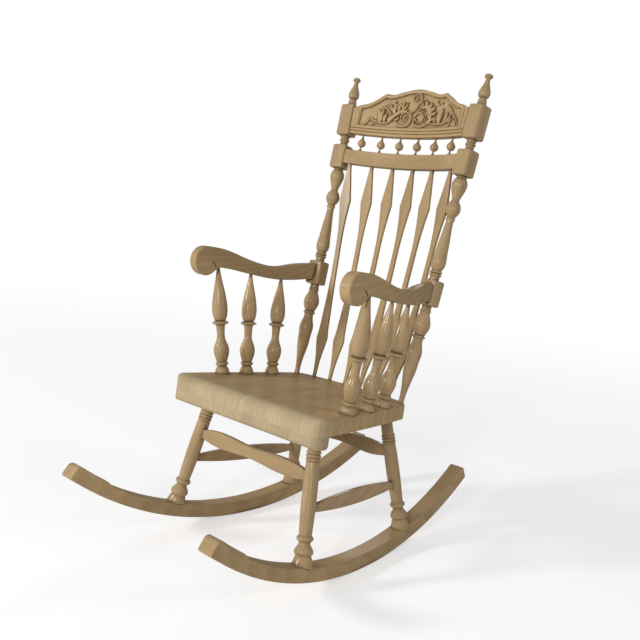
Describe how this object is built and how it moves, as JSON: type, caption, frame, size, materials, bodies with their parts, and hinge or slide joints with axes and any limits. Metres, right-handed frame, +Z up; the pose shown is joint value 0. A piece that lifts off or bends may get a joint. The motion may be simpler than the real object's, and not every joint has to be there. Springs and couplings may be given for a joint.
{
  "type": "rocking chair",
  "caption": "Wooden rocking chair with turned posts, arrow spindles, a carved crest rail and turned arm supports.",
  "frame": {"origin": "on the floor, below the middle of the chair's length and width, with the chair standing at its own balance", "axes": "+Z up, the sitter faces -Y, +X to the side of the sitter's left hand as seen from the front on the viewer's right"},
  "size_m": [0.5122, 0.9728, 1.1779],
  "materials": {
    "chair_wood": "satin lacquer on light oak stain",
    "seat_wood": "satin lacquer on light oak stain",
    "screw_steel": "zinc plated"
  },
  "bodies": {
    "root": {"arm_left": "chair_wood", "arm_right": "chair_wood", "arm_screw_plugs": "chair_wood", "arm_screws": "screw_steel", "arm_spindle_left_front": "chair_wood", "arm_spindle_left_middle": "chair_wood", "arm_spindle_left_rear": "chair_wood", "arm_spindle_right_front": "chair_wood", "arm_spindle_right_middle": "chair_wood", "arm_spindle_right_rear": "chair_wood", "back_post_left": "chair_wood", "back_post_right": "chair_wood", "back_spindle_1": "chair_wood", "back_spindle_2": "chair_wood", "back_spindle_3": "chair_wood", "back_spindle_4": "chair_wood", "back_spindle_5": "chair_wood", "back_spindle_6": "chair_wood", "ball_spindle_1": "chair_wood", "ball_spindle_2": "chair_wood", "ball_spindle_3": "chair_wood", "ball_spindle_4": "chair_wood", "ball_spindle_5": "chair_wood", "ball_spindle_6": "chair_wood", "crest_rail": "chair_wood", "front_leg_left": "chair_wood", "front_leg_right": "chair_wood", "front_stretcher": "chair_wood", "lower_back_rail": "chair_wood", "rail_pins": "chair_wood", "rear_leg_left": "chair_wood", "rear_leg_right": "chair_wood", "rear_stretcher": "chair_wood", "rocker_left": "chair_wood", "rocker_right": "chair_wood", "seat_board_left_inner": "seat_wood", "seat_board_left_outer": "seat_wood", "seat_board_right_inner": "seat_wood", "seat_board_right_outer": "seat_wood", "seat_dowels": "chair_wood", "seat_front_strip": "chair_wood", "side_stretcher_left": "chair_wood", "side_stretcher_right": "chair_wood"}
  },
  "joints": []
}
